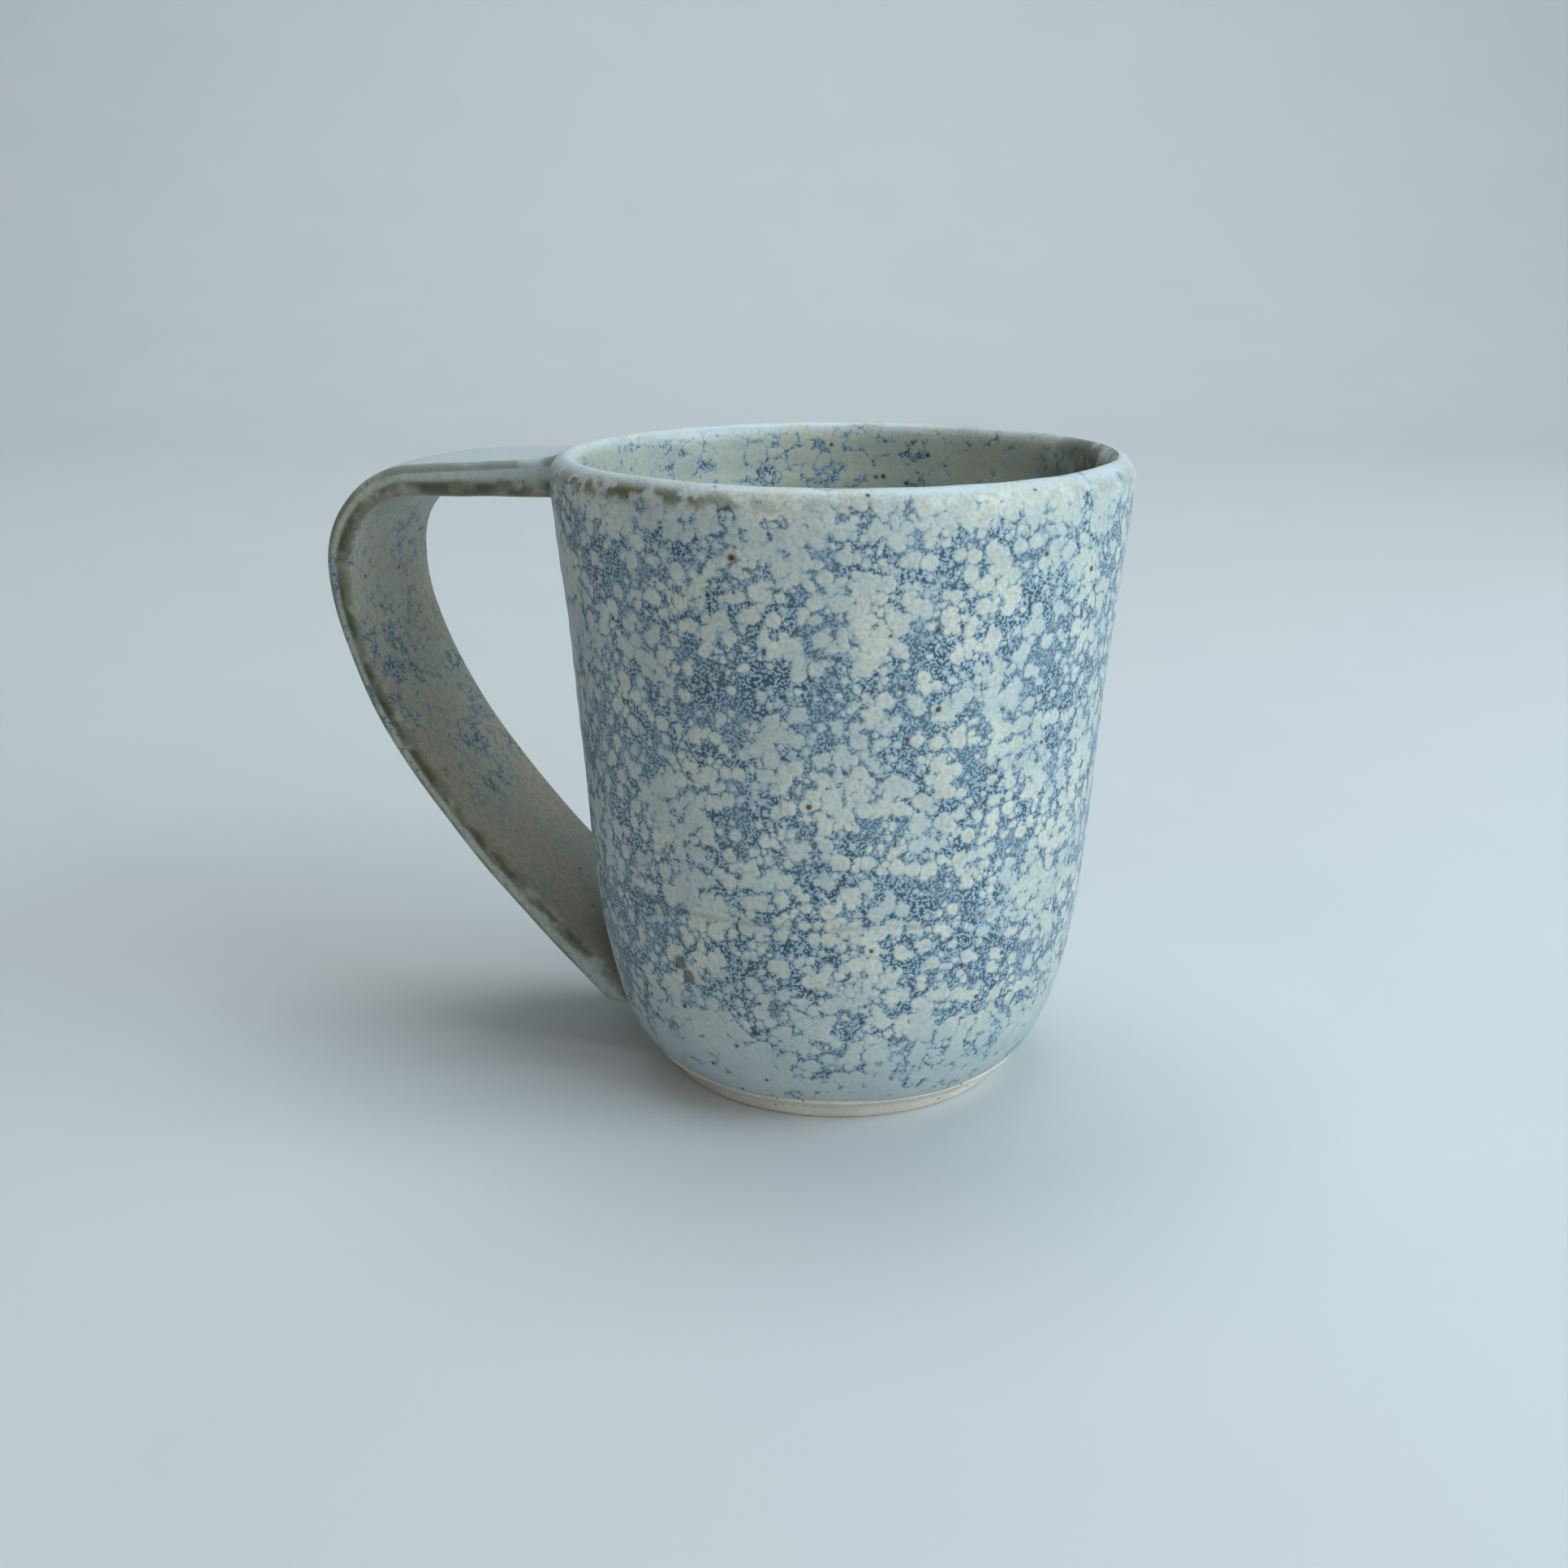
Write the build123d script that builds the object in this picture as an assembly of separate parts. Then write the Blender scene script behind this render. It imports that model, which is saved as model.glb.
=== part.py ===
from build123d import *

import math
import os

# A wheel-thrown stoneware mug: one clay cup, a pulled strap handle stuck on with slip, and glaze skins.
# The origin is the middle of the foot on the table, +Z runs up the cup, and the handle points to -X.
# All sizes are millimetres and all angles are degrees. A "drop" is measured down from the top of the lip.

# The outside of the cup, over its glaze
MUG_HEIGHT = 100.0
RIM_RADIUS = 44.9
RIM_DROP = 3.6
RIM_FLARE = 5.5
LIP_CREST_INSET = 2.7
BELLY_RADIUS = 40.5
BELLY_HEIGHT = 45.0
HEEL_RADIUS = 36.1
HEEL_HEIGHT = 14.0

# The bare foot
FOOT_TOP_RADIUS = 31.0
FOOT_HEIGHT = 4.3
FOOT_TOP_FLARE = 44.0
FOOT_RADIUS = 28.3
FOOT_SHOULDER_HEIGHT = 1.5
FOOT_RING_RADIUS = 27.2
FOOT_HOLLOW_RADIUS = 21.0
FOOT_HOLLOW_DEPTH = 1.2

# The inside of the cup: thickness of lip, wall, heel and floor over both glazes
LIP_THICKNESS = 4.5
INNER_LIP_DROP = 2.9
WALL_THICKNESS = 5.4
HEEL_THICKNESS = 7.4
FLOOR_THICKNESS = 6.5
FLOOR_FLAT_RADIUS = 15.0

# The coats
GLAZE_THICKNESS = 0.4
SLIP_THICKNESS = 1.0

# The middle line of the handle strap
HANDLE_TOP_DROP = 4.8
HANDLE_TOP_FALL = 3.0
HANDLE_REACH = 82.6
HANDLE_SHOULDER_RADIUS = 15.0
HANDLE_LEG_BOW = 7.5
HANDLE_FOOT_HEIGHT = 11.2
HANDLE_FOOT_FALL = 40.0
HANDLE_END_HEIGHT = 8.6
HANDLE_ROOT_DEPTH = 8.0

# The section of the strap over its glaze, at its top end, half way along and at its lower end
STRAP_WIDTHS = (23.6, 27.6, 28.0)
STRAP_THICKNESSES = (7.4, 4.6, 7.0)
STRAP_EDGE_RADIUS = 1.6
STRAP_STATIONS = 18

OFFSET_POINTS = 9


def at(radius, height):
    """A point of the half-plane in which the cup's profile is drawn."""
    return Vector(radius, 0, height)


def heading(angle):
    """The direction that climbs straight up at 0 degrees and runs straight outwards at 90."""
    return Vector(math.sin(math.radians(angle)), 0, math.cos(math.radians(angle)))


def stand_off(edge, distance):
    """The curve that runs beside a profile edge, by a distance out of the cup, or into it if negative."""
    points = []
    directions = []
    for index in range(OFFSET_POINTS):
        share = index / (OFFSET_POINTS - 1)
        along = edge % share
        points.append(edge @ share + Vector(along.Z, 0, -along.X) * distance)
        directions.append(along)
    return Spline(*points, tangents=(directions[0], directions[-1]))


def turned(*edges):
    """The solid that a closed profile makes on the wheel."""
    return revolve(make_face(edges), Axis.Z)


# The cup's profile over its glaze. It runs up the outside, over the lip and down the inside, except
# that the inner heel is drawn from the floor out to the wall.

rim = at(RIM_RADIUS, MUG_HEIGHT - RIM_DROP)
crest = at(RIM_RADIUS - LIP_CREST_INSET, MUG_HEIGHT)
inner_rim = at(RIM_RADIUS - LIP_THICKNESS, MUG_HEIGHT - INNER_LIP_DROP)

outer_wall = Spline(
    at(FOOT_TOP_RADIUS, FOOT_HEIGHT),
    at(HEEL_RADIUS, HEEL_HEIGHT),
    at(BELLY_RADIUS, BELLY_HEIGHT),
    rim,
    tangents=(heading(FOOT_TOP_FLARE), heading(RIM_FLARE)),
)
outer_lip = Spline(rim, crest, tangents=(heading(RIM_FLARE), heading(-90)))
inner_lip = Spline(crest, inner_rim, tangents=(heading(-90), heading(180)))
floor = Line(at(FLOOR_FLAT_RADIUS, FLOOR_THICKNESS), at(0, FLOOR_THICKNESS))
inner_heel = TangentArc(
    at(FLOOR_FLAT_RADIUS, FLOOR_THICKNESS),
    at(HEEL_RADIUS - HEEL_THICKNESS, HEEL_HEIGHT),
    tangent=heading(90),
)
inner_wall = Spline(
    inner_rim,
    at(BELLY_RADIUS - WALL_THICKNESS, BELLY_HEIGHT),
    inner_heel @ 1,
    tangents=(heading(180), -(inner_heel % 1)),
)

# The same profile on the clay, under the glaze, and the bare foot that it ends in.

clay_outer_wall = stand_off(outer_wall, -GLAZE_THICKNESS)
clay_outer_lip = stand_off(outer_lip, -GLAZE_THICKNESS)
clay_inner_lip = stand_off(inner_lip, -GLAZE_THICKNESS)
clay_inner_wall = stand_off(inner_wall, -GLAZE_THICKNESS)
clay_inner_heel = stand_off(inner_heel, GLAZE_THICKNESS)
clay_floor = Line(clay_inner_heel @ 0, at(0, FLOOR_THICKNESS - GLAZE_THICKNESS))

foot_side = Spline(
    at(FOOT_RING_RADIUS, 0),
    at(FOOT_RADIUS, FOOT_SHOULDER_HEIGHT),
    clay_outer_wall @ 0,
    tangents=(heading(90), heading(FOOT_TOP_FLARE)),
)
foot_hollow = TangentArc(at(0, FOOT_HOLLOW_DEPTH), at(FOOT_HOLLOW_RADIUS, 0), tangent=heading(90))


def plug(wall, lip):
    """Everything inside an outer wall and lip, filled to the axis, to trim what stands on the wall."""
    crown = at(0, (lip @ 1).Z)
    base = at(0, (wall @ 0).Z)
    return turned(wall, lip, Line(lip @ 1, crown), Line(crown, base), Line(base, wall @ 0))


clay_plug = plug(clay_outer_wall, clay_outer_lip)
glaze_plug = plug(outer_wall, outer_lip)
slip_plug = plug(
    stand_off(clay_outer_wall, SLIP_THICKNESS),
    stand_off(clay_outer_lip, SLIP_THICKNESS),
)


# The handle strap: a pulled strip of clay, lofted through rounded sections along its middle line.

strap_root = at(RIM_RADIUS, MUG_HEIGHT - HANDLE_TOP_DROP)
top_run = heading(90 + HANDLE_TOP_FALL)
shoulder_side = heading(HANDLE_TOP_FALL)
shoulder_x = HANDLE_REACH - HANDLE_SHOULDER_RADIUS * (1 - shoulder_side.X)
run_length = (shoulder_x - strap_root.X) / top_run.X
shoulder_start = strap_root + top_run * run_length
shoulder_centre = shoulder_start - shoulder_side * HANDLE_SHOULDER_RADIUS
elbow = shoulder_centre + at(HANDLE_SHOULDER_RADIUS, 0)

foot_level = Line(at(0, HANDLE_FOOT_HEIGHT), at(HANDLE_REACH, HANDLE_FOOT_HEIGHT))
foot_root = foot_level.intersect(outer_wall).vertices()[0].center()
foot_run = heading(-90 - HANDLE_FOOT_FALL)
leg = foot_root - elbow
leg_middle = elbow + leg * 0.5 + Vector(-leg.Z, 0, leg.X).normalized() * HANDLE_LEG_BOW

middle_line = Wire(
    [
        Line(strap_root - top_run * HANDLE_ROOT_DEPTH, shoulder_start),
        ThreePointArc(
            shoulder_start,
            shoulder_centre + heading((HANDLE_TOP_FALL + 90) / 2) * HANDLE_SHOULDER_RADIUS,
            elbow,
        ),
        Spline(elbow, leg_middle, foot_root, tangents=(heading(180), foot_run)),
        Line(foot_root, foot_root + foot_run * HANDLE_ROOT_DEPTH),
    ]
)


def along_strap(sizes, share):
    """A size that passes smoothly through its values at the two ends and half way."""
    first, middle, last = sizes
    return (
        first * (1 - share) * (1 - 2 * share)
        + middle * 4 * share * (1 - share)
        + last * share * (2 * share - 1)
    )


def strap(inset):
    """The strap's solid, smaller all round by the inset. Its lower end is pressed flat from below."""
    sections = []
    for station in range(STRAP_STATIONS):
        share = station / (STRAP_STATIONS - 1)
        reached = share * middle_line.length
        section = RectangleRounded(
            along_strap(STRAP_WIDTHS, share) - 2 * inset,
            along_strap(STRAP_THICKNESSES, share) - 2 * inset,
            STRAP_EDGE_RADIUS - inset,
        )
        place = Plane(
            middle_line.position_at(reached, PositionMode.LENGTH),
            x_dir=(0, 1, 0),
            z_dir=middle_line.tangent_at(reached, PositionMode.LENGTH),
        )
        sections.append(place * section)
    end_plane = Plane.XY.offset(HANDLE_END_HEIGHT + inset)
    return split(loft(sections), end_plane, keep=Keep.TOP).rotate(Axis.Z, 180)


glazed_strap = strap(0)
clay_strap = strap(GLAZE_THICKNESS)
slip_joints = (clay_strap & (slip_plug - clay_plug)).solids().sort_by(Axis.Z)

mug_body = turned(
    clay_outer_wall,
    clay_outer_lip,
    clay_inner_lip,
    clay_inner_wall,
    clay_inner_heel,
    clay_floor,
    Line(clay_floor @ 1, foot_hollow @ 0),
    foot_hollow,
    Line(foot_hollow @ 1, foot_side @ 0),
    foot_side,
)
outer_glaze = turned(
    outer_wall,
    outer_lip,
    Line(crest, clay_outer_lip @ 1),
    clay_outer_lip,
    clay_outer_wall,
    Line(clay_outer_wall @ 0, outer_wall @ 0),
)
liner_glaze = turned(
    inner_lip,
    inner_wall,
    inner_heel,
    floor,
    Line(floor @ 1, clay_floor @ 1),
    clay_floor,
    clay_inner_heel,
    clay_inner_wall,
    clay_inner_lip,
    Line(clay_inner_lip @ 0, crest),
)

nodes = {
    "mug_body": mug_body,
    "handle_strap": clay_strap - slip_plug,
    "upper_slip_joint": slip_joints[-1],
    "lower_slip_joint": slip_joints[0],
    "outer_glaze": outer_glaze - clay_strap,
    "liner_glaze": liner_glaze,
    "handle_glaze": glazed_strap - clay_strap - glaze_plug,
}

os.makedirs("parts", exist_ok=True)
for name, shape in nodes.items():
    export_step(shape, f"parts/{name}.step")
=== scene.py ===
import math

import bpy
import numpy as np
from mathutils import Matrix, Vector


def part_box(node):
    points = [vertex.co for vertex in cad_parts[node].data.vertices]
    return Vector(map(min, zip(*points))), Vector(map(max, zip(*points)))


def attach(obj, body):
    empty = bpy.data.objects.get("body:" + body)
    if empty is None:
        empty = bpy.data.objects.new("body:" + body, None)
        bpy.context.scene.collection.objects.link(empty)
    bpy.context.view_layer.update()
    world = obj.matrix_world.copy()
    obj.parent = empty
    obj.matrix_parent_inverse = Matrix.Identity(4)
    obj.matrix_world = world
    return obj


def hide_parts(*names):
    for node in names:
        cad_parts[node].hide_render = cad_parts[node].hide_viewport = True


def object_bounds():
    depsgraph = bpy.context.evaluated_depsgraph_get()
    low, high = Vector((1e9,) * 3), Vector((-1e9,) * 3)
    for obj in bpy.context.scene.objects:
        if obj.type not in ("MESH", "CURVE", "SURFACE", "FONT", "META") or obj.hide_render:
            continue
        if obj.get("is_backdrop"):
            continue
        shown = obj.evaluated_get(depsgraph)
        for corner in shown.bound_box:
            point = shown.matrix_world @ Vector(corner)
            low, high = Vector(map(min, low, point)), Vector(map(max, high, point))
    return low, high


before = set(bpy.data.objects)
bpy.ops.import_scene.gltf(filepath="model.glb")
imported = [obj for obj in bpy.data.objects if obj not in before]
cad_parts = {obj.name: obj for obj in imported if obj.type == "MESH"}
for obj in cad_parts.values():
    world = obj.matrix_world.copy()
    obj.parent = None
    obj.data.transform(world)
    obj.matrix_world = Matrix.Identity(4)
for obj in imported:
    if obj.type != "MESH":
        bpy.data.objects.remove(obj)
cad_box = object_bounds()


# ---------------------------------------------------------------------------------------------------
# The clay cup. Stoneware thrown on the wheel, its lip rounded with a wet leather, its foot left bare
# and trimmed underneath. Everything else on the mug lies on this form, so its line is drawn here as
# it is over the glaze, in millimetres, and the coats are then measured back from it.

# One millimetre in metres, the unit of the finished meshes
MM = 0.001

foot_glaze_low, mug_top = (corner.z / MM for corner in map(Vector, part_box("outer_glaze")))
RIM_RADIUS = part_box("outer_glaze")[1][0] / MM

RIM_DROP = 3.6
RIM_LEAN = 5.5
LIP_CREST_INSET = 2.7
LIP_THICKNESS = 4.5
INNER_LIP_DROP = 2.9
BELLY = (40.5, 45.0)
HEEL = (36.1, 14.0)
GLAZE_LINE = (31.0, foot_glaze_low)
GLAZE_LINE_LEAN = 44.0
FOOT_TOP_RADIUS = 31.28
WALL_THICKNESS = 5.4
HEEL_THICKNESS = 7.4
FLOOR_HEIGHT = 6.5
FLOOR_RADIUS = 15.0
FOOT_RADIUS = 28.3
FOOT_SHOULDER = 1.5
FOOT_RING_RADIUS = 27.2
FOOT_HOLLOW_RADIUS = 21.0
FOOT_HOLLOW_DEPTH = 1.2
GLAZE = 0.4
ROLLED_EDGE = 0.5

# How finely the surfaces are drawn: the length of a step up the wall, and the steps round the wheel
ROW_STEP = 0.86
ROUND_STEPS = 324
FOOT_STEP = 0.4
# Where rows crowd together to round the lower edge of the glaze, in shares of one step up the wall
EDGE_SHARES = (0, 0.03, 0.1, 0.2, 0.35, 0.6)

# The marks that throwing and drying leave: a size is how far apart they lie, a depth how far they reach
RING_SPACING = 5.3
RING_DEPTH = 0.05
INNER_RING_GAIN = 2.2
RING_FADE_HEIGHT = 8.0
RING_FADE_RADIUS = 10.0
TOOL_LINE_HEIGHT = 36.0
TOOL_LINE_DEPTH = 0.13
TOOL_LINE_WIDTH = 0.9
TOOL_LINE_WANDER = 0.4
UNEVENNESS = 0.13
UNEVENNESS_SIZE = 26
RIPPLE = 0.05
RIPPLE_SIZE = 14
OVALNESS = 0.16
OVAL_TURN = 0.7
LIP_WAVE = 0.22
FOOT_UNEVENNESS = 0.06
FOOT_UNEVENNESS_SIZE = 9


def leaning(degrees):
    """The direction that runs straight up at 0 degrees and straight outwards at 90."""
    return math.sin(math.radians(degrees)), math.cos(math.radians(degrees))


def drawn_line(points, leaving, arriving, step=0.1):
    """Close points on the smooth line through a few points, with set directions at its ends."""
    points = np.array(points, float)
    lengths = np.linalg.norm(np.diff(points, axis=0), axis=1)
    equations = np.eye(len(points))
    pulls = np.zeros_like(points)
    pulls[0], pulls[-1] = leaving, arriving
    for here in range(1, len(points) - 1):
        before, after = lengths[here - 1], lengths[here]
        equations[here, here - 1 : here + 2] = after, 2 * (before + after), before
        pulls[here] = 3 * (
            (points[here] - points[here - 1]) * after / before
            + (points[here + 1] - points[here]) * before / after
        )
    slopes = np.linalg.solve(equations, pulls)
    runs = []
    for here, length in enumerate(lengths):
        t = np.linspace(0, 1, max(2, int(length / step)), endpoint=False)[:, None]
        runs.append(
            points[here] * (1 + 2 * t) * (1 - t) ** 2
            + slopes[here] * length * t * (1 - t) ** 2
            + points[here + 1] * t**2 * (3 - 2 * t)
            + slopes[here + 1] * length * t**2 * (t - 1)
        )
    return np.concatenate(runs + [points[-1:]])


def spaced(line, step):
    """The same line with points a set distance apart."""
    reached = np.concatenate([[0], np.cumsum(np.linalg.norm(np.diff(line, axis=0), axis=1))])
    stops = np.linspace(0, reached[-1], max(2, round(reached[-1] / step) + 1))
    return np.stack([np.interp(stops, reached, line[:, axis]) for axis in range(2)], axis=1)


SWELL_WAVES = 7


def swell(places, size, seed):
    """A soft random rise and fall over a surface, mostly between -1 and 1, as hands leave in clay."""
    draws = np.random.default_rng(seed)
    total = np.zeros(places.shape[:-1])
    for _ in range(SWELL_WAVES):
        way = draws.normal(size=3)
        way *= 2 * math.pi * draws.uniform(0.6, 1.5) / (size * np.linalg.norm(way))
        total += np.sin(places @ way + draws.uniform(0, 2 * math.pi))
    return total / 3


def grid_normals(places):
    """Unit normals of a surface given as rows of points that run round the piece."""
    across = np.roll(places, -1, axis=1) - np.roll(places, 1, axis=1)
    along = np.gradient(places, axis=0)
    normals = np.cross(across, along)
    sizes = np.linalg.norm(normals, axis=2, keepdims=True)
    flat = sizes[..., 0].max(axis=1) < 1e-9
    normals = normals / np.maximum(sizes, 1e-12)
    for row in np.flatnonzero(flat):
        beside = row + 1 if row == 0 else row - 1
        normals[row] = normals[beside].mean(axis=0)
        normals[row] /= np.linalg.norm(normals[row][0])
    return normals


def turned(line):
    """Sweep a line of (radius, height) points round the wheel."""
    angles = np.linspace(0, 2 * math.pi, ROUND_STEPS, endpoint=False)
    radius, height = line[:, :1], line[:, 1:]
    return np.stack(
        [radius * np.cos(angles), radius * np.sin(angles), height + 0 * angles], axis=2
    )


def handled(places):
    """The whole mug's slight lean out of true: the mouth a little oval and the lip a little wavy."""
    x, y, z = np.moveaxis(places, -1, 0)
    angle = np.arctan2(y, x)
    share = np.clip(z / mug_top, 0, 1.02)
    grown = 1 + OVALNESS / RIM_RADIUS * np.cos(2 * angle + OVAL_TURN) * share**2
    # Two waves round the lip, one long and one short, that only ever bring it down
    wave = (np.cos(angle - 1.1) + 0.6 * np.cos(3 * angle + 0.4)) / 1.6
    return np.stack([x * grown, y * grown, z + LIP_WAVE * (wave - 1) * share**6], axis=-1)


def solid(name, outside, inside=None, normals=None, gap=None):
    """Make a closed piece from rows of points, or from an outer and an inner skin joined at their edges.

    A row whose points all meet becomes one point. gap marks squares of the skins that are left out.
    """
    skins = [outside] if inside is None else [outside, inside]
    if normals is None:
        normals = grid_normals(outside)
    rows, columns = outside.shape[:2]
    faces = []
    for side, skin in enumerate(skins):
        index = np.arange(rows * columns).reshape(rows, columns) + side * rows * columns
        met = np.ptp(skin, axis=1).max(axis=1) < 1e-6
        index[met] = index[met, :1]
        beside = np.roll(index, -1, axis=1)
        squares = np.stack([index[:-1], beside[:-1], beside[1:], index[1:]], axis=2)
        kept = squares.reshape(-1, 4) if gap is None else squares[~gap]
        if side == 0:
            edges = np.concatenate([kept[:, [k, (k + 1) % 4]] for k in range(4)])
            faces.append(kept)
        else:
            faces.append(kept[:, ::-1])
    if inside is not None:
        drawn = set(map(tuple, edges.tolist()))
        rim = [(a, b) for a, b in drawn if a != b and (b, a) not in drawn]
        across = rows * columns
        faces.append(np.array([(b, a, a + across, b + across) for a, b in sorted(rim)]))
    faces = np.concatenate(faces)
    used, faces = np.unique(faces, return_inverse=True)
    faces = faces.reshape(-1, 4)
    points = np.concatenate([skin.reshape(-1, 3) for skin in skins])[used]
    turns = normals.reshape(-1, 3)
    turns = (turns if inside is None else np.concatenate([turns, -turns]))[used]
    corners = [list(dict.fromkeys(face)) for face in faces.tolist()]
    mesh = bpy.data.meshes.new(name)
    mesh.from_pydata((handled(points) * MM).tolist(), [], corners)
    mesh.shade_smooth()
    mesh.normals_split_custom_set_from_vertices(turns.tolist())
    piece = bpy.data.objects.new(name, mesh)
    bpy.context.scene.collection.objects.link(piece)
    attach(piece, "root")
    return piece


class Wire:
    """One socket of a finish, wrapped so that sums on it read as ordinary sums."""

    def __init__(self, tree, socket):
        self.tree = tree
        self.socket = socket

    def node(self, kind, settings, sockets, output=0):
        """Add a node of this kind, set it up, then give its sockets their values or links."""
        made = self.tree.nodes.new(kind)
        for name, value in settings.items():
            setattr(made, name, value)
        for name, value in sockets.items():
            if isinstance(value, Wire):
                self.tree.links.new(value.socket, made.inputs[name])
            else:
                made.inputs[name].default_value = value
        return Wire(self.tree, made.outputs[output]) if made.outputs else None

    def sum(self, operation, *values):
        """One piece of plain arithmetic, by the name of its operation."""
        return self.node("ShaderNodeMath", {"operation": operation}, dict(enumerate(values)))

    def __add__(self, other):
        return self.sum("ADD", self, other)

    def __radd__(self, other):
        return self.sum("ADD", other, self)

    def __sub__(self, other):
        return self.sum("SUBTRACT", self, other)

    def __rsub__(self, other):
        return self.sum("SUBTRACT", other, self)

    def __mul__(self, other):
        return self.sum("MULTIPLY", self, other)

    def __rmul__(self, other):
        return self.sum("MULTIPLY", other, self)

    def size(self):
        return self.sum("ABSOLUTE", self)

    def rise(self, low, high):
        """0 below low and 1 above high, with a soft step between."""
        ends = {"Value": self, "From Min": low, "From Max": high}
        return self.node("ShaderNodeMapRange", {"interpolation_type": "SMOOTHSTEP"}, ends)

    def bump(self, middle, width):
        """1 at the middle value, falling softly to 0 a width away on either side."""
        return 1 - (self - middle).size().rise(0, width)

    def tinted(self, below, above):
        """The colour below where this is 0, and the colour above where it is 1."""
        return self.node("ShaderNodeMix", {"data_type": "RGBA"}, {0: self, 6: below, 7: above}, 2)

    def part(self, axis):
        """One coordinate of a place."""
        return self.node("ShaderNodeSeparateXYZ", {}, {0: self}, axis)

    def away(self, spot):
        """How far a place is from a spot."""
        sockets = {0: self, 1: spot}
        return self.node("ShaderNodeVectorMath", {"operation": "DISTANCE"}, sockets, "Value")

    def cloud(self, size, detail=2.0, output="Fac"):
        """Soft random patches of about this size in millimetres, 0.5 on average."""
        return self.node(
            "ShaderNodeTexNoise", {}, {"Vector": self, "Scale": 1 / size, "Detail": detail}, output
        )

    def cells(self, size, output="Distance"):
        """Scattered points about this far apart, and the distance to the nearest, in spacings."""
        return self.node("ShaderNodeTexVoronoi", {}, {"Vector": self, "Scale": 1 / size}, output)

    def stirred(self, size, reach):
        """The same place pushed about at random by up to this reach, to make round things uneven."""
        push = self.cloud(size, 1.0, "Color")
        centred = self.node("ShaderNodeVectorMath", {"operation": "SUBTRACT"}, {0: push, 1: (0.5,) * 3})
        scaled = self.node(
            "ShaderNodeVectorMath", {"operation": "SCALE"}, {0: centred, "Scale": 2 * reach}
        )
        return self.node("ShaderNodeVectorMath", {"operation": "ADD"}, {0: self, 1: scaled})


def new_finish(name):
    """An empty material, and the place on the surface in millimetres to build its looks from."""
    material = bpy.data.materials.new(name)
    material.use_nodes = True
    tree = material.node_tree
    tree.nodes.clear()
    metres = Wire(tree, tree.nodes.new("ShaderNodeTexCoord").outputs["Object"])
    place = metres.node("ShaderNodeVectorMath", {"operation": "SCALE"}, {0: metres, "Scale": 1 / MM})
    return material, place


def fired(colour, roughness, relief, relief_depth, gloss=0.5):
    """Close a finish: its colour, its roughness, and the fine relief of its surface in millimetres."""
    normal = colour.node(
        "ShaderNodeBump", {}, {"Strength": 1.0, "Distance": relief_depth * MM, "Height": relief}
    )
    surface = colour.node(
        "ShaderNodeBsdfPrincipled",
        {},
        {
            "Base Color": colour,
            "Roughness": roughness,
            "Normal": normal,
            "Specular IOR Level": gloss,
        },
    )
    surface.node("ShaderNodeOutputMaterial", {"is_active_output": True}, {"Surface": surface})


def shade(red, green, blue):
    """A colour given as it looks on a screen, from 0 to 255, as the light it sends back."""
    return tuple(((value / 255 + 0.055) / 1.055) ** 2.4 for value in (red, green, blue)) + (1.0,)


rim = (RIM_RADIUS, mug_top - RIM_DROP)
crest = (RIM_RADIUS - LIP_CREST_INSET, mug_top)
inner_rim = (RIM_RADIUS - LIP_THICKNESS, mug_top - INNER_LIP_DROP)
outer_line = spaced(
    np.concatenate(
        [
            drawn_line(
                [GLAZE_LINE, HEEL, BELLY, rim], leaning(GLAZE_LINE_LEAN), leaning(RIM_LEAN)
            )[:-1],
            drawn_line([rim, crest], leaning(RIM_LEAN), leaning(-90)),
        ]
    ),
    ROW_STEP,
)
heel = (HEEL[0] - HEEL_THICKNESS, HEEL[1])
heel_turn = 2 * math.atan2(heel[1] - FLOOR_HEIGHT, heel[0] - FLOOR_RADIUS)
heel_lean = (-math.cos(heel_turn), -math.sin(heel_turn))
inner_line = spaced(
    np.concatenate(
        [
            drawn_line([crest, inner_rim], leaning(-90), leaning(180))[:-1],
            drawn_line(
                [inner_rim, (BELLY[0] - WALL_THICKNESS, BELLY[1]), heel], leaning(180), heel_lean
            )[:-1],
            drawn_line([heel, (FLOOR_RADIUS, FLOOR_HEIGHT)], heel_lean, leaning(-90))[:-1],
            np.array([(FLOOR_RADIUS, FLOOR_HEIGHT), (0, FLOOR_HEIGHT)]),
        ]
    ),
    ROW_STEP,
)
first, second = outer_line[:2]
edge_rows = [first + (second - first) * share for share in EDGE_SHARES]
outer_line = np.concatenate([edge_rows, outer_line[1:]])
glaze_line = np.concatenate([outer_line[:-1], inner_line])
crest_row = len(outer_line) - 1


def thrown(line):
    """The turned surface with the marks of throwing: rings that climb, soft swells and one tool line."""
    places = turned(line)
    normals = grid_normals(places)
    x, y, z = np.moveaxis(places, -1, 0)
    turn = np.arctan2(y, x) / (2 * math.pi)
    outer = np.arange(len(line))[:, None] < crest_row
    radius = np.hypot(x, y)
    fade = np.clip((mug_top - 1 - z) / RING_FADE_HEIGHT, 0, 1) * np.clip(radius / RING_FADE_RADIUS, 0, 1)
    rings = np.sin(2 * math.pi * (z / RING_SPACING + turn) + swell(places, 45, 3))
    depth = RING_DEPTH * (0.6 + 0.4 * swell(places, 30, 4))
    marks = fade * depth * rings * np.where(outer, 1.0, INNER_RING_GAIN)
    marks += UNEVENNESS * swell(places, UNEVENNESS_SIZE, 5) * fade
    marks += RIPPLE * swell(places, RIPPLE_SIZE, 6)
    off_line = z - TOOL_LINE_HEIGHT - TOOL_LINE_WANDER * swell(places, 40, 7)
    marks -= TOOL_LINE_DEPTH * np.exp(-((off_line / TOOL_LINE_WIDTH) ** 2)) * outer
    marks *= radius > 1e-6
    places = places + normals * marks[..., None]
    return places, grid_normals(places)


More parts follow.
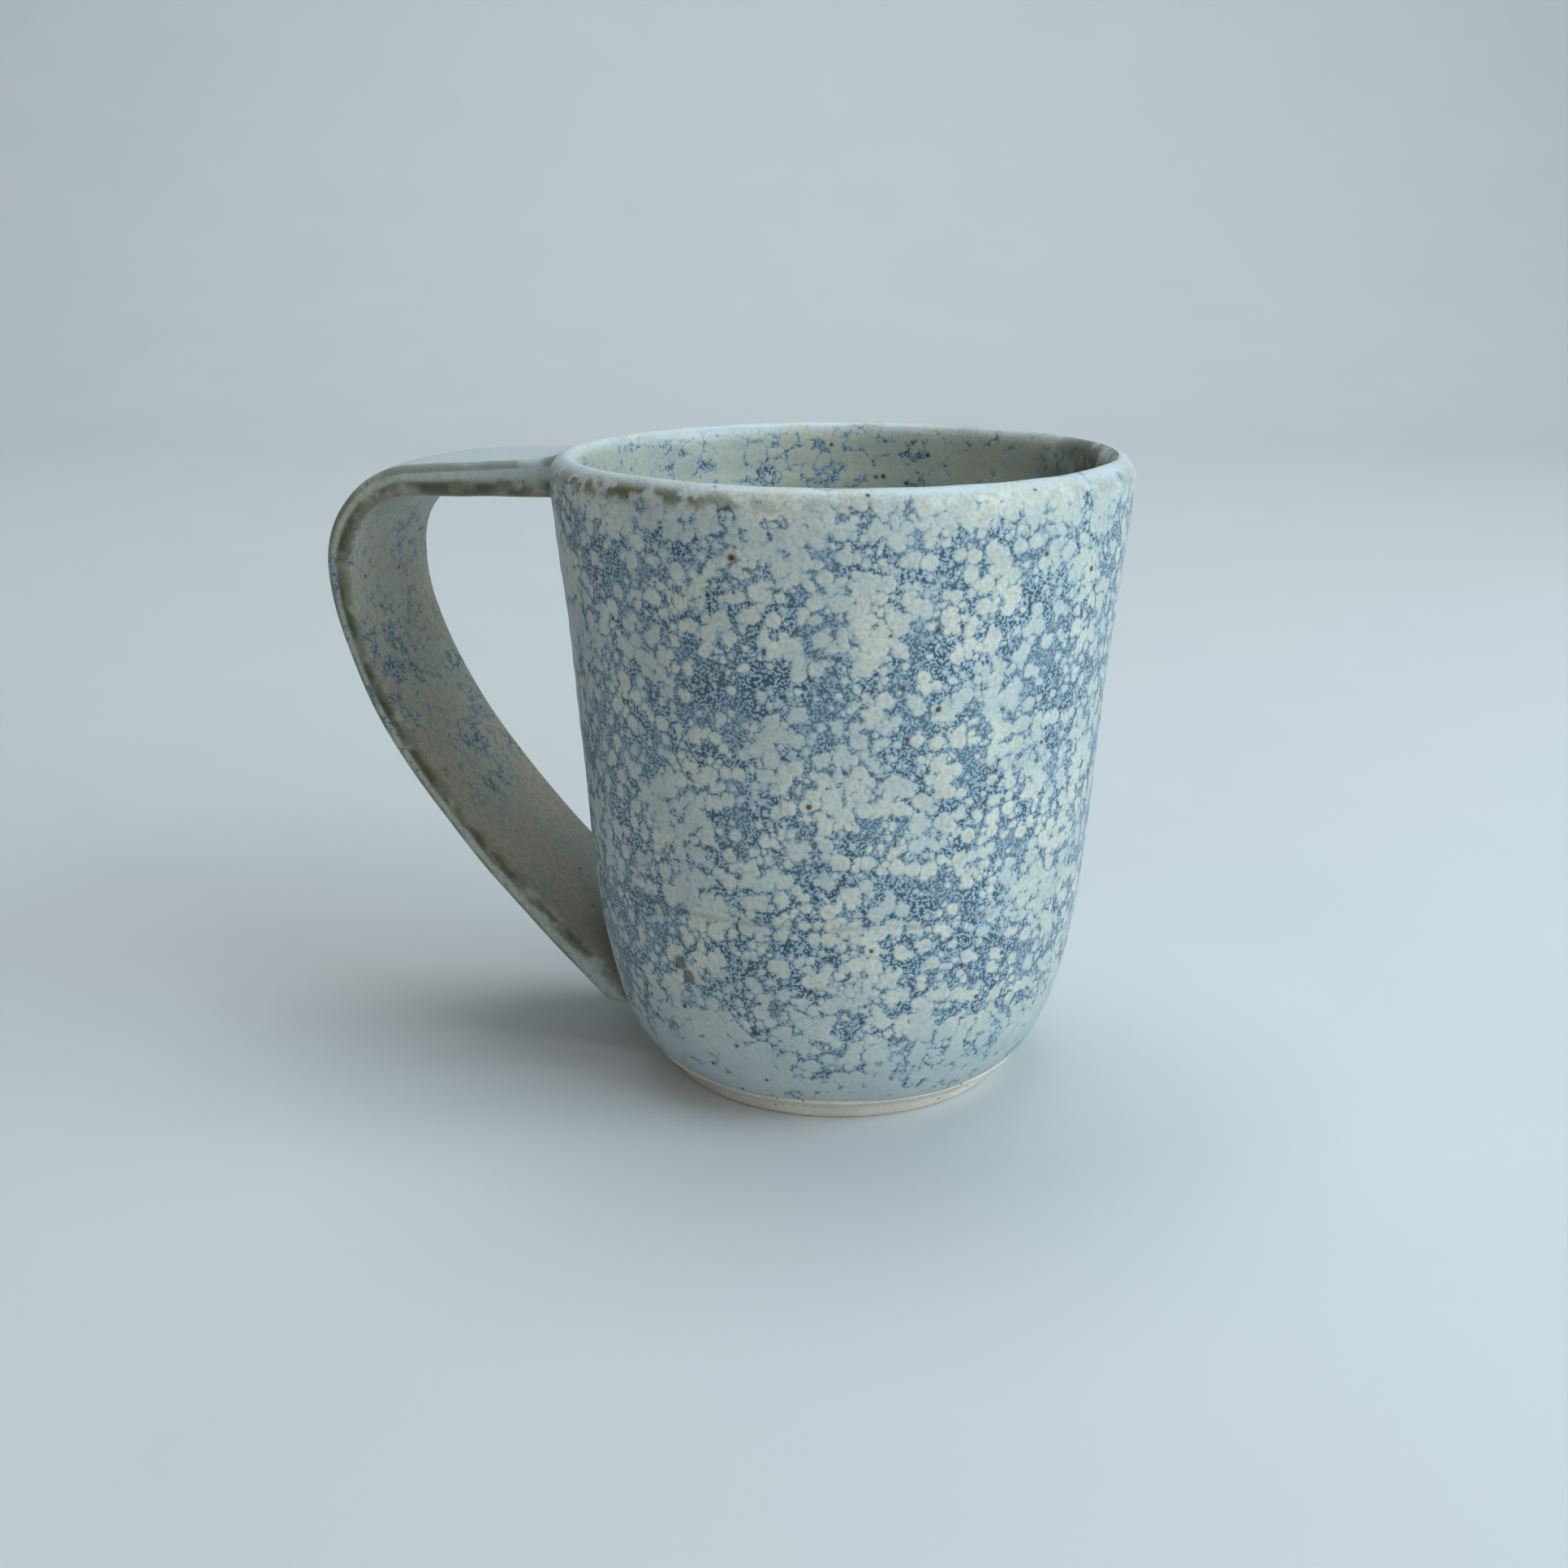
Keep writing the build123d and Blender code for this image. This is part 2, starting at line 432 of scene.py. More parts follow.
glaze_face, glaze_normals = thrown(glaze_line)
clay_face = glaze_face - glaze_normals * GLAZE
from_edge = np.cumsum(np.r_[0, np.hypot(*np.diff(glaze_line, axis=0).T)])
roll = np.sqrt(1 - (1 - np.clip(from_edge / ROLLED_EDGE, 0.02, 1)) ** 2)
glaze_face = clay_face + glaze_normals * GLAZE * roll[:, None, None]
glaze_normals = grid_normals(glaze_face)

hollow_radii = np.arange(1, FOOT_HOLLOW_RADIUS, ROW_STEP)
hollow_heights = FOOT_HOLLOW_DEPTH * (1 - (hollow_radii / FOOT_HOLLOW_RADIUS) ** 2)
foot_line = np.concatenate(
    [
        [(0, FOOT_HOLLOW_DEPTH)],
        np.stack([hollow_radii, hollow_heights], axis=1),
        [(FOOT_HOLLOW_RADIUS, 0), (FOOT_RING_RADIUS, 0)],
    ]
)


SAND = shade(203, 199, 187)
PALE_SAND = shade(216, 212, 201)
DUSTY_CLAY = shade(170, 162, 148)
GROG_BROWN = shade(92, 76, 60)
GROG_SPACING = 1.7

clay, place = new_finish("bare_stoneware")
grain = place.cloud(0.5, 3.0)
grog = 1 - place.stirred(0.6, 0.15).cells(GROG_SPACING).rise(0.06, 0.16)
sandy = place.cloud(7.0).rise(0.35, 0.65).tinted(SAND, PALE_SAND)
dusty = (grain.rise(0.45, 0.8) * 0.5).tinted(sandy, DUSTY_CLAY)
turned_clay = place.node(
    "ShaderNodeTexWave",
    {"wave_type": "RINGS", "rings_direction": "Z"},
    {"Vector": place, "Scale": 0.35, "Distortion": 1.2, "Detail": 2.0},
    "Fac",
)
fired(
    (grog * 0.8).tinted(dusty, GROG_BROWN),
    0.8 - grain * 0.1,
    grain * 0.5 + turned_clay * 0.2 - grog * 0.6,
    0.12,
    gloss=0.3,
)

under_foot = turned(foot_line)
pressed = FOOT_UNEVENNESS * swell(under_foot, FOOT_UNEVENNESS_SIZE, 11)
pressed[0] = 0
under_foot[..., 2] = np.maximum(under_foot[..., 2] + pressed, 0)
foot_side = drawn_line(
    [(FOOT_RING_RADIUS, 0), (FOOT_RADIUS, FOOT_SHOULDER), (FOOT_TOP_RADIUS, GLAZE_LINE[1])],
    leaning(90),
    leaning(GLAZE_LINE_LEAN),
)
mug_body = solid(
    "thrown_cup",
    np.concatenate([under_foot, turned(spaced(foot_side, FOOT_STEP))[1:-1], clay_face[1:]]),
)
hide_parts("mug_body")
mug_body.data.materials.append(clay)


# ---------------------------------------------------------------------------------------------------
# The handle. A strip of the same clay, pulled wet between the fingers, bent over and stuck to the
# scored wall with slip at both ends. Its lower end is pressed flat from below with a thumb, and the
# slip that squeezed out is wiped into a small fillet all round each joint.

HANDLE_TOP_DROP = 4.8
HANDLE_TOP_FALL = 3.0
HANDLE_REACH = 82.6
HANDLE_SHOULDER_RADIUS = 15.0
HANDLE_LEG_BOW = 7.5
HANDLE_FOOT_HEIGHT = 11.2
HANDLE_FOOT_FALL = 40.0
HANDLE_END_HEIGHT = 8.6
HANDLE_ROOT_DEPTH = 8.0
STRAP_WIDTHS = (23.6, 27.6, 28.0)
STRAP_THICKNESSES = (7.4, 4.6, 7.0)
STRAP_EDGE_RADIUS = 1.45
STRAP_CROWN = 0.35
PRESSED_EDGE = 0.25
PULLED_BULGE = 0.14
FINGER_MARK = 0.05

# The wiped joints: how thick the slip is, how far the fillets reach at the sides, over the top end
# (along the strap and down the wall) and under the bends, and how far the ends sink into the glaze
SLIP = 0.6
FILLET = 1.0
LIP_SWEEP = (3.4, 1.1)
UNDER_FILLET = 1.5
SUNK = 0.12

# How finely the strap is drawn: stations along its middle line, rows kept, and steps round it
STRAP_STATIONS = 800
BODY_ROWS = 190
JOINT_ROWS = 6
SHOULDER_STEPS = 60
WIDE_FACE_STEPS = 25
SIDE_FACE_STEPS = 5
CORNER_STEPS = 8


def middle_line():
    """The line along the middle of the strap, from inside the lip round to inside the lower wall."""
    root = np.array([RIM_RADIUS, mug_top - HANDLE_TOP_DROP])
    run = np.array(leaning(90 + HANDLE_TOP_FALL))
    side = np.array(leaning(HANDLE_TOP_FALL))
    turn_start = root + run * (
        (HANDLE_REACH - HANDLE_SHOULDER_RADIUS * (1 - side[0]) - root[0]) / run[0]
    )
    centre = turn_start - side * HANDLE_SHOULDER_RADIUS
    turn = np.radians(np.linspace(HANDLE_TOP_FALL, 90, SHOULDER_STEPS))
    shoulder = centre + HANDLE_SHOULDER_RADIUS * np.stack([np.sin(turn), np.cos(turn)], axis=1)
    elbow = shoulder[-1]
    wall_there = np.interp(HANDLE_FOOT_HEIGHT, outer_line[:, 1], outer_line[:, 0])
    foot = np.array([wall_there, HANDLE_FOOT_HEIGHT])
    chord = foot - elbow
    bowed = elbow + chord / 2 + np.array([-chord[1], chord[0]]) / np.hypot(*chord) * HANDLE_LEG_BOW
    arriving = np.array(leaning(-90 - HANDLE_FOOT_FALL))
    leg = drawn_line([elbow, bowed, foot], leaning(180), arriving)
    start, end = root - run * HANDLE_ROOT_DEPTH, foot + arriving * HANDLE_ROOT_DEPTH
    line = np.concatenate([[start], shoulder[:-1], leg, [end]])
    return spaced(line, np.linalg.norm(np.diff(line, axis=0), axis=1).sum() / (STRAP_STATIONS - 1))


def along_strap(sizes, share):
    """A size that passes smoothly through its values at the two ends and half way."""
    first, middle, last = sizes
    return (
        first * (1 - share) * (1 - 2 * share)
        + middle * 4 * share * (1 - share)
        + last * share * (2 * share - 1)
    )


def strap_section():
    """Steps round the strap: which part of the flat faces, and which way the surface looks."""
    faces = []
    for quarter, flats in enumerate((WIDE_FACE_STEPS, SIDE_FACE_STEPS) * 2):
        flat = np.linspace(-1, 1, flats)[1:-1]
        corner = np.radians(90 - 90 * quarter - np.linspace(0, 90, CORNER_STEPS))
        way, cross = (1, -1)[quarter // 2], quarter % 2
        looks = np.zeros((flats - 2, 2))
        looks[:, 1 - cross] = way
        spots = np.full((flats - 2, 2), float(way))
        spots[:, cross] = flat * (way if cross == 0 else -way)
        faces.append(np.hstack([spots, looks]))
        ends = np.sign([np.cos(corner[1]), np.sin(corner[1])])
        spots = np.tile(ends, (CORNER_STEPS, 1))
        looks = np.stack([np.cos(corner), np.sin(corner)], axis=1)
        faces.append(np.hstack([spots, looks]))
    return np.concatenate(faces)


def off_wall(places):
    """How far places stand off the glazed wall, and which way the wall faces there."""
    wall = np.concatenate([outer_line, [(0, mug_top)]])
    radius = np.hypot(places[..., 0], places[..., 1])
    spot = np.stack([radius, places[..., 2]], axis=-1)[..., None, :]
    start, run = wall[:-1], np.diff(wall, axis=0)
    share = np.clip(((spot - start) * run).sum(-1) / (run**2).sum(-1), 0, 1)
    gap = spot - start - run * share[..., None]
    distance = np.linalg.norm(gap, axis=-1)
    nearest = distance.argmin(axis=-1)[..., None]
    gap = np.take_along_axis(gap, nearest[..., None], axis=-2)[..., 0, :]
    facing = np.stack([run[:, 1], -run[:, 0]], axis=1) / np.linalg.norm(run, axis=1)[:, None]
    facing = facing[nearest[..., 0]]
    distance = np.take_along_axis(distance, nearest, axis=-1)[..., 0]
    distance = distance * np.where((gap * facing).sum(-1) < 0, -1, 1)
    around = places[..., :2] / np.maximum(radius, 1e-9)[..., None]
    return distance, np.concatenate([around * facing[..., :1], facing[..., 1:]], axis=-1)


def lofted_strap():
    """The strap as a dense grid of points, stations along it by steps round it, wall to wall."""
    line = middle_line()
    ahead = np.gradient(line, axis=0)
    ahead /= np.linalg.norm(ahead, axis=1)[:, None]
    share = np.linspace(0, 1, STRAP_STATIONS)
    wide = along_strap(STRAP_WIDTHS, share)[:, None] / 2
    thick = along_strap(STRAP_THICKNESSES, share)[:, None] / 2
    across, through, look_across, look_out = strap_section().T
    side = across * (wide - STRAP_EDGE_RADIUS) + look_across * STRAP_EDGE_RADIUS
    out = through * (thick - STRAP_EDGE_RADIUS) + look_out * STRAP_EDGE_RADIUS
    out -= STRAP_CROWN * through * (side / wide) ** 2
    reach = line[:, :1] - ahead[:, 1:] * out
    height = line[:, 1:] + ahead[:, :1] * out
    places = np.stack([-reach, side, height], axis=2)
    bulge = PULLED_BULGE * swell(places, 24, 21) + FINGER_MARK * swell(places, 9, 22)
    places += grid_normals(places) * bulge[..., None]
    above = places[..., 2] - HANDLE_END_HEIGHT
    places[..., 2] = HANDLE_END_HEIGHT + (above + np.hypot(above, PRESSED_EDGE)) / 2
    return places


def read_along(grid, stops):
    """Points of the grid at fractional stations, its own set of stations for each line of it."""
    lines = np.arange(grid.shape[1])
    low = np.clip(stops.astype(int), 0, len(grid) - 2)
    share = (stops - low)[..., None]
    return grid[low, lines] * (1 - share) + grid[low + 1, lines] * share


def joined_strap():
    """The strap's rows between the walls, with its ends flared into them where the slip is wiped."""
    places = lofted_strap()
    normals = grid_normals(places)
    facing = np.zeros_like(places)
    distance = np.zeros(places.shape[:2])
    for station in range(len(places)):
        distance[station], facing[station] = off_wall(places[station])
    outward = strap_section()[:, 3]
    rows_by_end = []
    body_stops = []
    for end in (0, 1):
        top = end == 0
        # The top end has a long sweep over it, and both ends a wider fillet on their lower side
        over, under = np.clip(outward, 0, 1), np.clip(-outward, 0, 1)
        if not top:
            over, under = 0 * over, over
        reach = FILLET + (LIP_SWEEP[0] - FILLET) * over + (UNDER_FILLET - FILLET) * under
        flare = FILLET + (LIP_SWEEP[1] - FILLET) * over + (UNDER_FILLET - FILLET) * under
        half = len(places) // 2
        away = distance[:half] if top else distance[::-1][:half]
        # Each row follows a quarter round from wall to strap, and one row lies on the edge of the slip
        slip_turn = np.arcsin(1 - SLIP / reach)
        turns = [np.full_like(reach, math.pi / 2)]
        turns += [math.pi / 2 + (slip_turn - math.pi / 2) * k / JOINT_ROWS for k in range(JOINT_ROWS)]
        turns += [slip_turn * (1 - k / JOINT_ROWS) for k in range(JOINT_ROWS + 1)]
        rows = []
        for row, turn in enumerate(turns):
            target = -SUNK if row == 0 else reach * (1 - np.sin(turn))
            stops = np.zeros(len(reach))
            for line in range(len(reach)):
                start = np.flatnonzero(away[:, line] < -SUNK)[-1]
                climbing = np.maximum.accumulate(away[start:, line])
                goal = target if row == 0 else target[line]
                stops[line] = start + np.interp(goal, climbing, np.arange(len(climbing)))
            if not top:
                stops = len(places) - 1 - stops
            spot, normal, wall = (read_along(grid, stops) for grid in (places, normals, facing))
            sideways = normal - wall * (normal * wall).sum(-1, keepdims=True)
            sideways /= np.linalg.norm(sideways, axis=-1, keepdims=True)
            spot = spot + sideways * (flare * (1 - np.cos(turn)))[:, None]
            gap, wall = off_wall(spot)
            rows.append(spot + wall * (target - gap)[:, None])
        rows_by_end.append(rows)
        body_stops.append(stops)
    shares = np.linspace(0, 1, BODY_ROWS + 2)[1:-1, None]
    body = read_along(places, body_stops[0] * (1 - shares) + body_stops[1] * shares)
    return np.concatenate([rows_by_end[0], body, rows_by_end[1][::-1]])


END_FACE_RINGS = (0.8, 0.6, 0.4, 0.2, 0.0)


def with_ends(rows):
    """Close a tube of rows with end faces that follow the curve of the wall behind them."""

    def end_face(ring):
        middle = ring.mean(axis=0)
        level = off_wall(ring)[0][:, None]
        faces = []
        for share in END_FACE_RINGS:
            row = middle + (ring - middle) * share
            gap, facing = off_wall(row)
            goal = level * share + level.mean() * (1 - share)
            faces.append(row + facing * (goal - gap[:, None]))
        faces[-1][:] = faces[-1].mean(axis=0)
        return faces

    return np.concatenate([end_face(rows[0])[::-1], rows, end_face(rows[-1])])


strap_face = joined_strap()
strap_normals = grid_normals(strap_face)
strap_clay = strap_face - strap_normals * GLAZE
slip_row = 1 + JOINT_ROWS

handle_strap = solid("pulled_strap", with_ends(strap_clay[slip_row:-slip_row]))
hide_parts("handle_strap")
handle_strap.data.materials.append(clay)


# ---------------------------------------------------------------------------------------------------
# The slip joints. Two pads of the cup's own clay thinned to a cream, brushed on the scored wall, with
# the ends of the strap pressed into them. They are hidden: the fillet that they make is glazed over.

slip = clay.copy()
slip.name = "slip"
for name, rows in (
    ("upper_slip_pad", strap_clay[1 : slip_row + 1]),
    ("lower_slip_pad", strap_clay[-slip_row - 1 : -1]),
):
    pad = solid(name, with_ends(rows))
    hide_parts(name.replace("pad", "joint"))
    pad.data.materials.append(slip)


# ---------------------------------------------------------------------------------------------------
# The glaze on the outside of the cup. A matt stoneware glaze, dipped, that curdles in the kiln into
# cream islands on a slate-blue ground. It thins to olive where it runs off the lip and ends in a
# soft rolled edge above the bare foot.

CREAM = shade(200, 207, 197)
WARM_CREAM = shade(194, 184, 168)
COOL_CREAM = shade(180, 194, 194)
SLATE = shade(48, 70, 85)
FLECK = shade(150, 177, 193)
BLUE_VEIL = shade(112, 139, 156)
BLOB_RIM = shade(112, 124, 126)
PALE_LIP = shade(182, 203, 214)
OLIVE = shade(92, 94, 68)
DEEP_OLIVE = shade(76, 78, 56)
RUST = shade(120, 84, 56)
IRON = shade(48, 42, 36)
GREEN_GREY = shade(154, 162, 148)
LOW_WALL_BLUE = shade(160, 179, 186)
SMEAR_BROWN = shade(92, 82, 72)

# How far apart the drops of each size lie, and their radius
ISLANDS = ((2.9, 1.4), (1.8, 0.86), (1.15, 0.48))
SPECK_SPACING = 4.2
SMEAR_SPOTS = ((-13.1, -36.3, 27.3), (-11.6, -36.4, 25.2))
BIG_SPECK_SPOT = (-1.7, -44.3, 90.1)
THIN_PATCH_MIDDLE = -18.0
THIN_PATCH_WIDTH = 28.0
# The heights between which the glaze low on the wall turns plain and blue towards the foot
LOW_BLUE_HEIGHTS = (9, 24)


def glaze(name, blue, green, slate_band):
    """A coat of the glaze: blue is how much slate shows between the islands, green how thin it lies.

    slate_band holds the heights where the slate starts to show, is full, starts to fade and is gone.
    """
    material, place = new_finish(name)
    height = place.part(2)
    below_lip = 1 - height.rise(mug_top - 2.6, mug_top - 0.3)

    # How far the islands float apart here, in millimetres: least of all near the lip and the foot
    drift = place.cloud(17.0, 1.0) * 0.9 + place.cloud(6.5, 1.0) * 1.0 - 0.95
    band = height.rise(*slate_band[:2]) * (1 - height.rise(*slate_band[2:]))
    apart = (drift + (band - 0.62) * 0.42 + blue) * below_lip - (1 - below_lip) * 0.22

    # The islands: round drops of three sizes, run together where they meet
    stirred = place.stirred(1.1, 0.36)
    reach = [stirred.cells(spacing) * spacing - radius for spacing, radius in ISLANDS]
    drops = reach[0].sum("SMOOTH_MIN", reach[0], reach[1], 0.25)
    drops = drops.sum("SMOOTH_MIN", drops, reach[2], 0.2)
    film = drops + place.cloud(0.55, 2.0) * 0.4 - 0.2 + apart
    ground = film.rise(-0.02, 0.16)
    rim_line = film.bump(-0.02, 0.16)

    # The ground between them: slate blue, curdled into pale flecks, under a thin blue veil in places
    grains = place.cloud(0.42, 1.0).rise(0.45, 0.58)
    deep = (film.rise(0.05, 0.4) * 0.4 + 0.58) * (1 - grains * 0.9)
    slate = deep.tinted(FLECK, SLATE)
    slate = (place.cloud(7.0, 1.0).rise(0.42, 0.68) * 0.4).tinted(slate, BLUE_VEIL)

    # The islands' own colour: cooler and warmer creams, greener where the coat lies thin
    cream = place.cloud(9.0, 3.0).rise(0.35, 0.65).tinted(COOL_CREAM, CREAM)
    warm = (1 - film.rise(-0.9, -0.2)) * place.cloud(12.0).rise(0.42, 0.6) * 0.55
    cream = warm.tinted(cream, WARM_CREAM)
    cream = (place.cloud(0.6, 2.0).rise(0.35, 0.75) * 0.35).tinted(cream, BLOB_RIM)
    thin = (green + place.cloud(20.0, 1.0) * 0.5 - 0.2) * below_lip
    cream = thin.tinted(cream, GREEN_GREY)
    cream = ((1 - height.rise(*LOW_BLUE_HEIGHTS)) * 0.6).tinted(cream, LOW_WALL_BLUE)
    colour = ground.tinted(cream, slate)
    colour = (rim_line * 0.16).tinted(colour, BLOB_RIM)

    # The crown of the lip, paler: partly the glaze lying thick there, partly painted highlight on the
    # top of the lip, which faces the lamp
    crown = height.rise(mug_top - 1.9, mug_top - 0.7) * place.cloud(6.0, 3.0).rise(0.3, 0.6) * 0.7
    colour = crown.tinted(colour, PALE_LIP)

    # Iron in the clay that bleeds through as specks, with a faint rusty edge
    loose = place.stirred(0.6, 0.12)
    weight = loose.cells(SPECK_SPACING, output="Color").part(0)
    iron = loose.cells(SPECK_SPACING) * SPECK_SPACING - weight * weight * 0.3
    colour = ((1 - iron.rise(0.05, 0.6)) * 0.3).tinted(colour, RUST)
    speck = 1 - iron.rise(0.04, 0.22)
    colour = (speck * 0.88).tinted(colour, IRON)

    relief = place.cloud(1.1, 4.0) * 0.8 + (1 - film.rise(-0.3, 0.3)) * 0.5 - speck * 0.5
    return material, place, colour, ground, relief, speck


matt, place, colour, ground, relief, speck = glaze("mottled_glaze", 0.1, 0.0, (6, 28, 90, 102))
height = place.part(2)

# Where it runs off the lip it breaks to olive, most of all on the front beside the handle
shoulder = height.bump(mug_top - 2.3, 2.0)
front = 1 - place.part(1).rise(-24, -6)
thin_patch = place.part(0).bump(THIN_PATCH_MIDDLE, THIN_PATCH_WIDTH) * front
ragged = place.cloud(2.6, 6.0).rise(0.39, 0.53)
colour = (shoulder * ragged * (thin_patch * 0.8 + 0.2)).tinted(colour, OLIVE)

# A broken brown line where the tool marked the clay, and the thin last edge above the foot
tool_line = height.bump(TOOL_LINE_HEIGHT, 0.8) * place.cloud(6.0, 3.0).rise(0.45, 0.58)
colour = (tool_line * 0.3).tinted(colour, SMEAR_BROWN)
last_edge = 1 - height.rise(foot_glaze_low + 0.1, foot_glaze_low + 0.55)
colour = (last_edge * 0.6).tinted(colour, OLIVE)

# Two marks of the firing on the front: a brown smear low down and one large speck under the lip
smeared = place.stirred(1.2, 0.4)
smear = smeared.sum("MINIMUM", *(smeared.away(spot) for spot in SMEAR_SPOTS))
colour = ((1 - smear.rise(0.8, 1.6)) * 0.85).tinted(colour, SMEAR_BROWN)
from_speck = place.away(BIG_SPECK_SPOT)
colour = ((1 - from_speck.rise(0.4, 1.1)) * 0.7).tinted(colour, RUST)
colour = (1 - from_speck.rise(0.35, 0.6)).tinted(colour, IRON)
fired(colour, 0.42 + speck * 0.2 - ground * 0.06, relief, 0.09)


UNDER_STRAP_MARGIN = 1.5


def under_strap(places):
    """Which squares of the wall lie under an end of the strap, well inside its edge, with no glaze."""
    pairs = (places + np.roll(places, -1, axis=1)) / 2
    middles = (pairs[:-1] + pairs[1:]) / 2
    covered = np.zeros(middles.shape[:2], bool)
    for ring in (strap_face[1], strap_face[-2]):
        least, most = ring.min(axis=0) + UNDER_STRAP_MARGIN, ring.max(axis=0) - UNDER_STRAP_MARGIN
        inside = (middles[..., 1:] > least[1:]) & (middles[..., 1:] < most[1:])
        covered |= inside.all(axis=-1) & (middles[..., 0] < 0)
    return covered


outside = glaze_face[: crest_row + 1]
outer_glaze = solid(
    "outer_glaze_coat",
    outside,
    clay_face[: crest_row + 1],
    normals=glaze_normals[: crest_row + 1],
    gap=under_strap(outside),
)
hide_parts("outer_glaze")
outer_glaze.data.materials.append(matt)


# ---------------------------------------------------------------------------------------------------
# The liner glaze. The same glaze poured inside and swilled round. It lies thinner there, grey-green,
# with only a few slate patches where it rolls over the lip.

liner, place, colour, _, relief, speck = glaze("liner_glaze", -0.16, 0.45, (60, 94, 98, 100))

# On the side away from the handle, under the lip, it turns deep olive: partly the glaze lying so thin
# that the olive shows through, partly painted shade on the inner wall that the lamp does not reach
thin_and_shaded_side = place.part(0).rise(20, 36) * place.part(2).rise(76, 88)
thin_and_shaded_side = thin_and_shaded_side * (1 - place.cloud(5.0, 3.0).rise(0.45, 0.65) * 0.7)
colour = (thin_and_shaded_side * 0.95).tinted(colour, DEEP_OLIVE)
fired(colour, 0.36 + speck * 0.2, relief, 0.07)

liner_glaze = solid(
    "liner_glaze_coat",
    glaze_face[crest_row:],
    clay_face[crest_row:],
    normals=glaze_normals[crest_row:],
)
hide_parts("liner_glaze")
liner_glaze.data.materials.append(liner)


# ---------------------------------------------------------------------------------------------------
# The glaze on the handle. The same dip, thinner on the long edges of the strap, where it breaks to
# olive brown over the clay, and thicker where it gathers in the fillets at the wall.

BURNT_OLIVE = shade(62, 62, 44)
END_TAN = shade(152, 138, 114)
SHADED_GREEN = shade(98, 104, 94)
WARM_TAN = shade(172, 154, 130)

handle_coat, place, colour, _, relief, speck = glaze(
    "handle_glaze", -0.15, 0.62, (30, 48, 84, 98)
)
thin_edge, inner_face = (
    place.node("ShaderNodeAttribute", {"attribute_name": name}, {}, "Fac")
    for name in ("thin_edge", "inner_face")
)

# Painted shade on the inside of the strap: its inner face turns a shaded green low down, where the mug
# keeps the lamp off it, and warm tan patches lie over the inner face
colour = (inner_face * (1 - place.part(2).rise(14, 52)) * 0.65).tinted(colour, SHADED_GREEN)
colour = (inner_face * place.cloud(14.0).rise(0.4, 0.62) * 0.35).tinted(colour, WARM_TAN)
# Painted shade: patches of the same shaded green darken the whole strap
colour = (place.cloud(0.9, 4.0).rise(0.44, 0.62) * 0.3).tinted(colour, SHADED_GREEN)
# Paler on its flat top under the lip: partly pale glaze, partly painted highlight where the top faces
# the lamp
colour = (place.part(2).rise(93, 97) * 0.55).tinted(colour, PALE_LIP)

# Olive along the long edges, burnt where it is thinnest, and tan under the pressed end
ragged = place.cloud(7.0, 7.0).rise(0.36, 0.56)
colour = (thin_edge.rise(0.1, 0.7) * (ragged * 0.75 + 0.1)).tinted(colour, OLIVE)
burnt = thin_edge.rise(0.5, 0.95) * place.cloud(5.0, 6.0).rise(0.42, 0.56)
colour = (burnt * 0.8).tinted(colour, BURNT_OLIVE)
below_pressed_end = 1 - place.part(2).rise(HANDLE_END_HEIGHT + 0.2, HANDLE_END_HEIGHT + 1.0)
colour = (below_pressed_end * 0.75).tinted(colour, END_TAN)
fired(colour, 0.4 + speck * 0.2, relief, 0.08)

handle_glaze = solid("handle_glaze_coat", strap_face, strap_clay)
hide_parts("handle_glaze")

# Painted round each row of the strap: a band along the inner half of both side faces and a thin line
# on the outer corners, and then the whole inner face
_, through, look_across, look_out = strap_section().T
side_face = np.clip(1.5 * np.abs(look_across), 0, 1)
thin_edge = side_face * np.exp(-(((through * 0.5 + look_out * 0.5 + 0.5) / 0.5) ** 2))
thin_edge += 0.5 * np.clip(4 * np.abs(look_across * look_out), 0, 1) * (look_out > 0)
for name, strength in (("thin_edge", thin_edge), ("inner_face", np.clip(-look_out, 0, 1))):
    paint = handle_glaze.data.attributes.new(name, "FLOAT", "POINT")
    paint.data.foreach_set("value", np.tile(strength, 2 * len(strap_face)))
handle_glaze.data.materials.append(handle_coat)


# ---------------------------------------------------------------------------------------------------
# The studio: a pale sweep of table and backdrop, a large soft lamp high on the right, a weaker one
# in front, one over the backdrop, and a dim room. The camera looks down on the front of the mug.

TABLE_HALF = 1.6
SWEEP_BACK = 0.9
SWEEP_RADIUS = 0.5
SWEEP_STEPS = 18
SWEEP_TOP = 2.2
TABLE_GREY = shade(196, 204, 208)
TABLE_PALE = shade(202, 209, 212)
ROOM_GREY = shade(214, 212, 208)
ROOM_STRENGTH = 0.31
MIDDLE_OF_MUG = (0, 0, 0.05)

CAMERA_PLACE = (0.0851, -0.2751, 0.1327)
CAMERA_TURN = -0.3306
CAMERA_DIP = 0.2928
CAMERA_LENS = 42.39
CAMERA_SENSOR = 36.0

sweep = [(-TABLE_HALF, 0.0), (SWEEP_BACK, 0.0)]
sweep += [
    (SWEEP_BACK + SWEEP_RADIUS * math.sin(a), SWEEP_RADIUS * (1 - math.cos(a)))
    for a in np.radians(np.linspace(5, 90, SWEEP_STEPS))
]
sweep += [(SWEEP_BACK + SWEEP_RADIUS, SWEEP_TOP)]
ahead = Vector((math.sin(CAMERA_TURN), math.cos(CAMERA_TURN), 0))
right = Vector((ahead.y, -ahead.x, 0))
corners = []
for out, up in sweep:
    for side in (-TABLE_HALF, TABLE_HALF):
        corners.append(ahead * out + right * side + Vector((0, 0, up)))
table_mesh = bpy.data.meshes.new("table")
table_mesh.from_pydata(
    corners, [], [(2 * k, 2 * k + 1, 2 * k + 3, 2 * k + 2) for k in range(len(sweep) - 1)]
)
table_mesh.shade_smooth()
table = bpy.data.objects.new("table", table_mesh)
bpy.context.scene.collection.objects.link(table)
